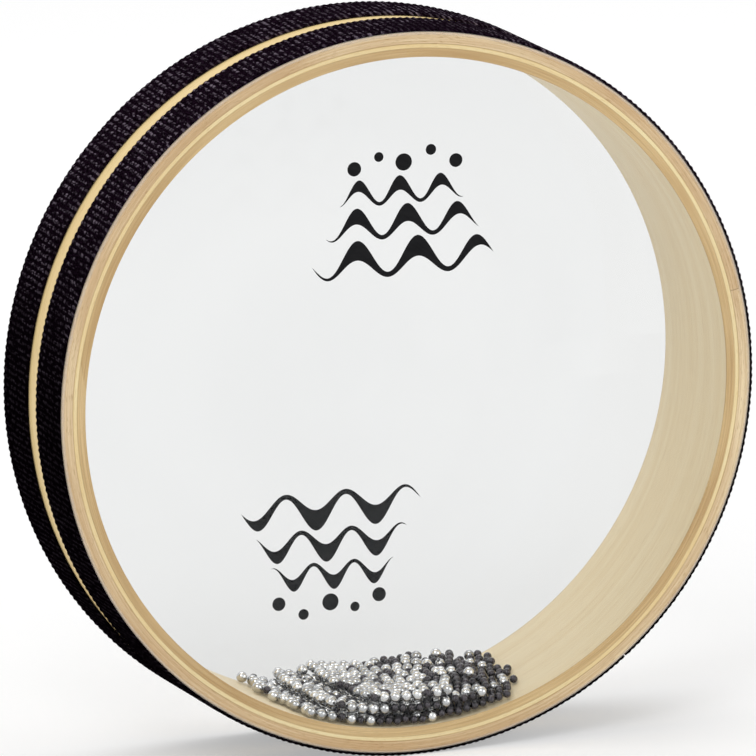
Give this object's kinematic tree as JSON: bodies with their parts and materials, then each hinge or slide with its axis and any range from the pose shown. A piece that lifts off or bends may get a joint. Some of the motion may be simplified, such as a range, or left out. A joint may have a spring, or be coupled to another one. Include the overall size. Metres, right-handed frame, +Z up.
{
  "type": "ocean drum",
  "caption": "Round frame drum with two clear film heads and loose metal beads sealed inside a bent-wood shell.",
  "frame": {"origin": "centre of the drum, on its axis, half way between the two heads", "axes": "+Y along the drum's axis from the front head to the back head, +Z up as the drum stands on its rim, +X to the right seen from the front"},
  "size_m": [0.254, 0.059, 0.254],
  "materials": {
    "outer_wood": "satin lacquer over fine straight grain",
    "core_wood": "sanded cross-grain edge",
    "inner_wood": "smooth, fine straight grain",
    "clear_film": "clear glossy polyester film",
    "black_tape": "ribbed woven cotton",
    "bright_steel": "polished steel balls",
    "dark_steel": "glossy dark oxide balls"
  },
  "bodies": {
    "drum": {"shell_outer_ply": "outer_wood", "shell_core_ply": "core_wood", "shell_inner_ply": "inner_wood", "front_head": "clear_film", "back_head": "clear_film", "front_tape": "black_tape", "back_tape": "black_tape"},
    "bead_bed": {"bed_steel_beads": "bright_steel", "bed_dark_beads": "dark_steel"},
    "bead_middle": {"middle_steel_beads": "bright_steel", "middle_dark_beads": "dark_steel"},
    "bead_top": {"top_steel_beads": "bright_steel", "top_dark_beads": "dark_steel"},
    "left_runner_1": {"left_runner_1": "bright_steel"},
    "left_runner_2": {"left_runner_2": "bright_steel"},
    "left_runner_3": {"left_runner_3": "bright_steel"},
    "right_runner_1": {"right_runner_1": "dark_steel"},
    "right_runner_2": {"right_runner_2": "dark_steel"},
    "right_runner_3": {"right_runner_3": "dark_steel"},
    "crest_bead_1": {"crest_bead_1": "bright_steel"},
    "crest_bead_2": {"crest_bead_2": "bright_steel"},
    "crest_bead_3": {"crest_bead_3": "bright_steel"}
  },
  "joints": [
    {"name": "heap_roll", "type": "hinge", "parent": "drum", "child": "bead_bed", "pos_m": [0, 0, 0], "axis": [0, 1, 0], "continuous": true},
    {"name": "middle_slip", "type": "hinge", "parent": "bead_bed", "child": "bead_middle", "pos_m": [0, 0, 0], "axis": [0, 1, 0], "range_deg": [-8, 8]},
    {"name": "top_slip", "type": "hinge", "parent": "bead_middle", "child": "bead_top", "pos_m": [0, 0, 0], "axis": [0, 1, 0], "range_deg": [-8, 8]},
    {"name": "left_roll_1", "type": "hinge", "parent": "bead_bed", "child": "left_runner_1", "pos_m": [0, 0, 0], "axis": [0, 1, 0], "range_deg": [0, 60]},
    {"name": "left_roll_2", "type": "hinge", "parent": "bead_bed", "child": "left_runner_2", "pos_m": [0, 0, 0], "axis": [0, 1, 0], "range_deg": [0, 45]},
    {"name": "left_roll_3", "type": "hinge", "parent": "bead_bed", "child": "left_runner_3", "pos_m": [0, 0, 0], "axis": [0, 1, 0], "range_deg": [0, 60]},
    {"name": "right_roll_1", "type": "hinge", "parent": "bead_bed", "child": "right_runner_1", "pos_m": [0, 0, 0], "axis": [0, -1, 0], "range_deg": [0, 60]},
    {"name": "right_roll_2", "type": "hinge", "parent": "bead_bed", "child": "right_runner_2", "pos_m": [0, 0, 0], "axis": [0, -1, 0], "range_deg": [0, 45]},
    {"name": "right_roll_3", "type": "hinge", "parent": "bead_bed", "child": "right_runner_3", "pos_m": [0, 0, 0], "axis": [0, -1, 0], "range_deg": [0, 60]},
    {"name": "crest_roll_1", "type": "slide", "parent": "bead_top", "child": "crest_bead_1", "axis": [0, 1, 0], "range_m": [-0.03, 0.01]},
    {"name": "crest_roll_2", "type": "slide", "parent": "bead_top", "child": "crest_bead_2", "axis": [0, 1, 0], "range_m": [-0.008, 0.012]},
    {"name": "crest_roll_3", "type": "slide", "parent": "bead_top", "child": "crest_bead_3", "axis": [0, 1, 0], "range_m": [-0.014, 0.006]}
  ]
}
